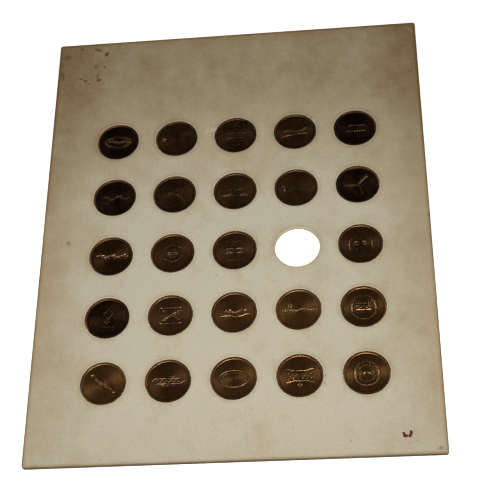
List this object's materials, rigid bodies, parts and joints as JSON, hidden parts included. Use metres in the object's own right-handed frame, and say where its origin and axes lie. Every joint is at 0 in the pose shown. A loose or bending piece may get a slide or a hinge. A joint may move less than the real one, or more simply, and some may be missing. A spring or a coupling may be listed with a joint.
{
  "type": "token display card",
  "caption": "Rectangular laminated board with a grid of die-cut round holes, each holding a pushed-in struck bronze token, and one hole left empty.",
  "frame": {"origin": "centre of the card's back face, in the plane it lies on", "axes": "+X to the right along the rows of holes, +Y towards the wide top margin, +Z out of the face"},
  "size_m": [0.229, 0.289, 0.0024],
  "materials": {
    "face_paper": "uncoated cream liner paper, aged, toned darker towards the edges",
    "grey_board": "die-cut recycled greyboard, fibrous edge",
    "back_paper": "uncoated liner paper, aged, plain",
    "token_bronze": "struck bronze toned dark brown, glossy raised rim"
  },
  "bodies": {
    "card": {"front_liner": "face_paper", "core_board": "grey_board", "back_liner": "back_paper"},
    "token_row1_col1": {"token_row1_col1": "token_bronze"},
    "token_row1_col2": {"token_row1_col2": "token_bronze"},
    "token_row1_col3": {"token_row1_col3": "token_bronze"},
    "token_row1_col4": {"token_row1_col4": "token_bronze"},
    "token_row1_col5": {"token_row1_col5": "token_bronze"},
    "token_row2_col1": {"token_row2_col1": "token_bronze"},
    "token_row2_col2": {"token_row2_col2": "token_bronze"},
    "token_row2_col3": {"token_row2_col3": "token_bronze"},
    "token_row2_col4": {"token_row2_col4": "token_bronze"},
    "token_row2_col5": {"token_row2_col5": "token_bronze"},
    "token_row3_col1": {"token_row3_col1": "token_bronze"},
    "token_row3_col2": {"token_row3_col2": "token_bronze"},
    "token_row3_col3": {"token_row3_col3": "token_bronze"},
    "token_row3_col5": {"token_row3_col5": "token_bronze"},
    "token_row4_col1": {"token_row4_col1": "token_bronze"},
    "token_row4_col2": {"token_row4_col2": "token_bronze"},
    "token_row4_col3": {"token_row4_col3": "token_bronze"},
    "token_row4_col4": {"token_row4_col4": "token_bronze"},
    "token_row4_col5": {"token_row4_col5": "token_bronze"},
    "token_row5_col1": {"token_row5_col1": "token_bronze"},
    "token_row5_col2": {"token_row5_col2": "token_bronze"},
    "token_row5_col3": {"token_row5_col3": "token_bronze"},
    "token_row5_col4": {"token_row5_col4": "token_bronze"},
    "token_row5_col5": {"token_row5_col5": "token_bronze"}
  },
  "joints": [
    {"name": "push_row1_col1", "type": "slide", "parent": "card", "child": "token_row1_col1", "axis": [0, 0, 1], "range_m": [0, 0.006]},
    {"name": "push_row1_col2", "type": "slide", "parent": "card", "child": "token_row1_col2", "axis": [0, 0, 1], "range_m": [0, 0.006]},
    {"name": "push_row1_col3", "type": "slide", "parent": "card", "child": "token_row1_col3", "axis": [0, 0, 1], "range_m": [0, 0.006]},
    {"name": "push_row1_col4", "type": "slide", "parent": "card", "child": "token_row1_col4", "axis": [0, 0, 1], "range_m": [0, 0.006]},
    {"name": "push_row1_col5", "type": "slide", "parent": "card", "child": "token_row1_col5", "axis": [0, 0, 1], "range_m": [0, 0.006]},
    {"name": "push_row2_col1", "type": "slide", "parent": "card", "child": "token_row2_col1", "axis": [0, 0, 1], "range_m": [0, 0.006]},
    {"name": "push_row2_col2", "type": "slide", "parent": "card", "child": "token_row2_col2", "axis": [0, 0, 1], "range_m": [0, 0.006]},
    {"name": "push_row2_col3", "type": "slide", "parent": "card", "child": "token_row2_col3", "axis": [0, 0, 1], "range_m": [0, 0.006]},
    {"name": "push_row2_col4", "type": "slide", "parent": "card", "child": "token_row2_col4", "axis": [0, 0, 1], "range_m": [0, 0.006]},
    {"name": "push_row2_col5", "type": "slide", "parent": "card", "child": "token_row2_col5", "axis": [0, 0, 1], "range_m": [0, 0.006]},
    {"name": "push_row3_col1", "type": "slide", "parent": "card", "child": "token_row3_col1", "axis": [0, 0, 1], "range_m": [0, 0.006]},
    {"name": "push_row3_col2", "type": "slide", "parent": "card", "child": "token_row3_col2", "axis": [0, 0, 1], "range_m": [0, 0.006]},
    {"name": "push_row3_col3", "type": "slide", "parent": "card", "child": "token_row3_col3", "axis": [0, 0, 1], "range_m": [0, 0.006]},
    {"name": "push_row3_col5", "type": "slide", "parent": "card", "child": "token_row3_col5", "axis": [0, 0, 1], "range_m": [0, 0.006]},
    {"name": "push_row4_col1", "type": "slide", "parent": "card", "child": "token_row4_col1", "axis": [0, 0, 1], "range_m": [0, 0.006]},
    {"name": "push_row4_col2", "type": "slide", "parent": "card", "child": "token_row4_col2", "axis": [0, 0, 1], "range_m": [0, 0.006]},
    {"name": "push_row4_col3", "type": "slide", "parent": "card", "child": "token_row4_col3", "axis": [0, 0, 1], "range_m": [0, 0.006]},
    {"name": "push_row4_col4", "type": "slide", "parent": "card", "child": "token_row4_col4", "axis": [0, 0, 1], "range_m": [0, 0.006]},
    {"name": "push_row4_col5", "type": "slide", "parent": "card", "child": "token_row4_col5", "axis": [0, 0, 1], "range_m": [0, 0.006]},
    {"name": "push_row5_col1", "type": "slide", "parent": "card", "child": "token_row5_col1", "axis": [0, 0, 1], "range_m": [0, 0.006]},
    {"name": "push_row5_col2", "type": "slide", "parent": "card", "child": "token_row5_col2", "axis": [0, 0, 1], "range_m": [0, 0.006]},
    {"name": "push_row5_col3", "type": "slide", "parent": "card", "child": "token_row5_col3", "axis": [0, 0, 1], "range_m": [0, 0.006]},
    {"name": "push_row5_col4", "type": "slide", "parent": "card", "child": "token_row5_col4", "axis": [0, 0, 1], "range_m": [0, 0.006]},
    {"name": "push_row5_col5", "type": "slide", "parent": "card", "child": "token_row5_col5", "axis": [0, 0, 1], "range_m": [0, 0.006]}
  ]
}
